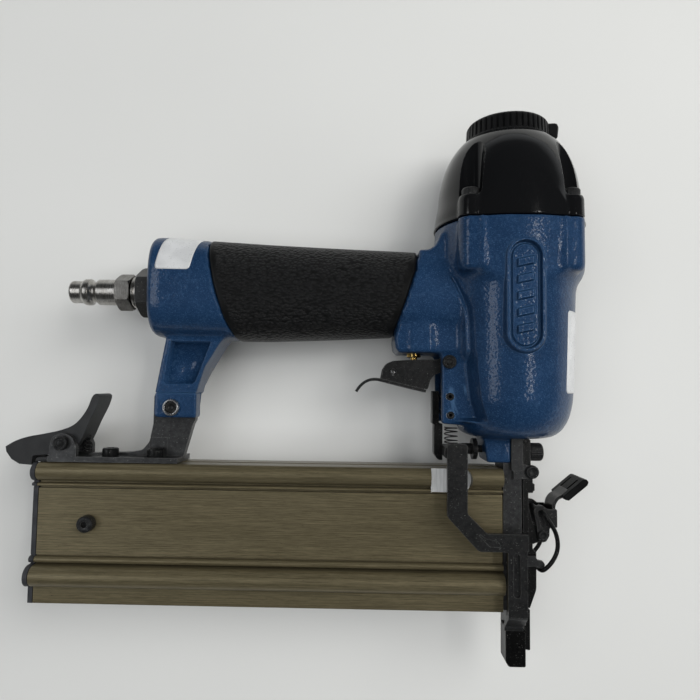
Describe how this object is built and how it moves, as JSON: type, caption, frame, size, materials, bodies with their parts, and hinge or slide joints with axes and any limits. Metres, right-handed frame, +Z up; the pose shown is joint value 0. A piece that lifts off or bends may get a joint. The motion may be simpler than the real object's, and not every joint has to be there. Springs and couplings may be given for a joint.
{
  "type": "pneumatic nail gun",
  "caption": "Pneumatic brad nailer lying on its side: cylinder head with cap, rubber grip, trigger, nose with latched door, safety arm and a long straight magazine.",
  "frame": {"origin": "centre of the base outline of the tool lying on its side, on the surface it lies on", "axes": "+X from the air inlet to the nose, +Y from the nose tip to the cylinder cap along the driver axis, +Z up out of the visible side"},
  "size_m": [0.2508, 0.2328, 0.0594],
  "materials": {
    "paint_blue": "glossy hammered paint",
    "black_rubber": "pebbled matt",
    "black_plastic": "matt",
    "black_paint": "gloss black",
    "black_steel": "black phosphate",
    "bright_steel": "zinc plated",
    "nickel": "satin nickel",
    "brass": "turned",
    "bronze_anodised": "brushed bronze anodised",
    "spring_steel": "drawn wire",
    "aluminium": "machined"
  },
  "bodies": {
    "casing": {"gun_body": "paint_blue", "rubber_grip": "black_rubber", "cylinder_cap": "black_paint", "cap_screw_1": "black_steel", "cap_screw_2": "black_steel", "cap_screw_3": "black_steel", "cap_screw_4": "black_steel", "deflector_screw": "bright_steel", "head_valve_spring": "spring_steel", "cylinder_liner": "aluminium", "bumper": "black_rubber", "trigger_pin": "black_steel", "trigger_valve": "brass", "valve_spring": "spring_steel", "roll_pin_1": "black_steel", "roll_pin_2": "black_steel", "driver_guide": "black_steel", "door_hinge_pin": "black_steel", "nose_screw_front": "black_steel", "nose_screw_rear": "black_steel", "contact_spring": "spring_steel", "magazine_fixed": "bronze_anodised", "magazine_screw": "black_steel", "magazine_bracket": "black_steel", "bracket_screw_1": "black_steel", "bracket_screw_2": "black_steel", "leg_bolt": "bright_steel", "magazine_latch_pin": "black_steel", "magazine_latch_spring": "spring_steel", "inlet_bushing": "black_steel", "air_plug": "nickel"},
    "deflector": {"exhaust_deflector": "black_plastic"},
    "head_valve": {"head_valve": "black_plastic", "head_valve_seal": "black_rubber", "head_valve_ring": "black_rubber"},
    "driver": {"piston": "aluminium", "piston_ring": "black_rubber", "driver_blade": "bright_steel"},
    "trigger": {"trigger": "black_steel", "rocker_pin": "bright_steel"},
    "rocker": {"trigger_rocker": "black_steel"},
    "valve_stem": {"valve_stem": "brass"},
    "contact_arm": {"contact_arm": "black_steel", "contact_tip": "black_steel", "safety_link": "black_steel"},
    "magazine_slide": {"magazine_slide": "bronze_anodised", "magazine_end_plate": "black_plastic", "pusher_spring": "spring_steel"},
    "pusher": {"pusher": "black_steel"},
    "magazine_latch": {"magazine_latch": "black_plastic"},
    "nose_door": {"nose_door": "black_steel", "latch_pin": "black_steel"},
    "latch_lever": {"latch_lever": "black_steel", "latch_paddle": "black_rubber"},
    "latch_bail": {"latch_bail": "black_steel"}
  },
  "joints": [
    {"name": "deflector_swivel", "type": "hinge", "parent": "casing", "child": "deflector", "pos_m": [0.09319, 0.11185, 0.0297], "axis": [0, 1, 0], "continuous": true},
    {"name": "head_valve_lift", "type": "slide", "parent": "casing", "child": "head_valve", "axis": [0, 1, 0], "range_m": [0, 0.0035], "stiffness_N_per_m": 400, "springref_m": -0.002, "deforming": ["head_valve_spring"]},
    {"name": "driver_stroke", "type": "slide", "parent": "casing", "child": "driver", "axis": [0, -1, 0], "range_m": [0, 0.064]},
    {"name": "trigger_pull", "type": "hinge", "parent": "casing", "child": "trigger", "pos_m": [0.06549, 0.00925, 0.0297], "axis": [0, 0, -1], "range_deg": [0, 6], "stiffness_Nm_per_rad": 0.5, "springref_deg": -5.73},
    {"name": "rocker_tilt", "type": "hinge", "parent": "trigger", "child": "rocker", "pos_m": [0.04229, 0.00475, 0.0297], "axis": [0, 0, 1], "range_deg": [0, 4], "stiffness_Nm_per_rad": 0.02, "springref_deg": -5.73},
    {"name": "valve_stem_lift", "type": "slide", "parent": "casing", "child": "valve_stem", "axis": [0, 1, 0], "range_m": [0, 0.0017], "deforming": ["valve_spring"]},
    {"name": "contact_arm_lift", "type": "slide", "parent": "casing", "child": "contact_arm", "axis": [0, 1, 0], "range_m": [0, 0.006], "stiffness_N_per_m": 300, "springref_m": -0.004, "deforming": ["contact_spring"]},
    {"name": "magazine_open", "type": "slide", "parent": "casing", "child": "magazine_slide", "axis": [-1, 0, 0], "range_m": [0, 0.12]},
    {"name": "pusher_travel", "type": "slide", "parent": "magazine_slide", "child": "pusher", "axis": [-1, 0, 0], "range_m": [0, 0.12], "stiffness_N_per_m": 15, "springref_m": -0.03, "deforming": ["pusher_spring"]},
    {"name": "magazine_latch_swing", "type": "hinge", "parent": "casing", "child": "magazine_latch", "pos_m": [-0.09951, -0.02735, 0.0297], "axis": [0, 0, -1], "range_deg": [0, 12], "stiffness_Nm_per_rad": 0.6, "springref_deg": -5.73, "deforming": ["magazine_latch_spring"]},
    {"name": "door_swing", "type": "hinge", "parent": "casing", "child": "nose_door", "pos_m": [0.10079, -0.03655, 0.0297], "axis": [0, 0, 1], "range_deg": [0, 50]},
    {"name": "latch_lever_swing", "type": "hinge", "parent": "nose_door", "child": "latch_lever", "pos_m": [0.10559, -0.06295, 0.0297], "axis": [0, 0, -1], "range_deg": [0, 100]},
    {"name": "bail_follow", "type": "hinge", "parent": "latch_lever", "child": "latch_bail", "pos_m": [0.10539, -0.05335, 0.0297], "axis": [0, 0, -1], "range_deg": [-100, 0]}
  ],
  "couplings": [
    {"joint": "valve_stem_lift", "follows": "trigger_pull", "m_per_rad": 0.0153},
    {"joint": "bail_follow", "follows": "latch_lever_swing", "ratio": -1}
  ]
}
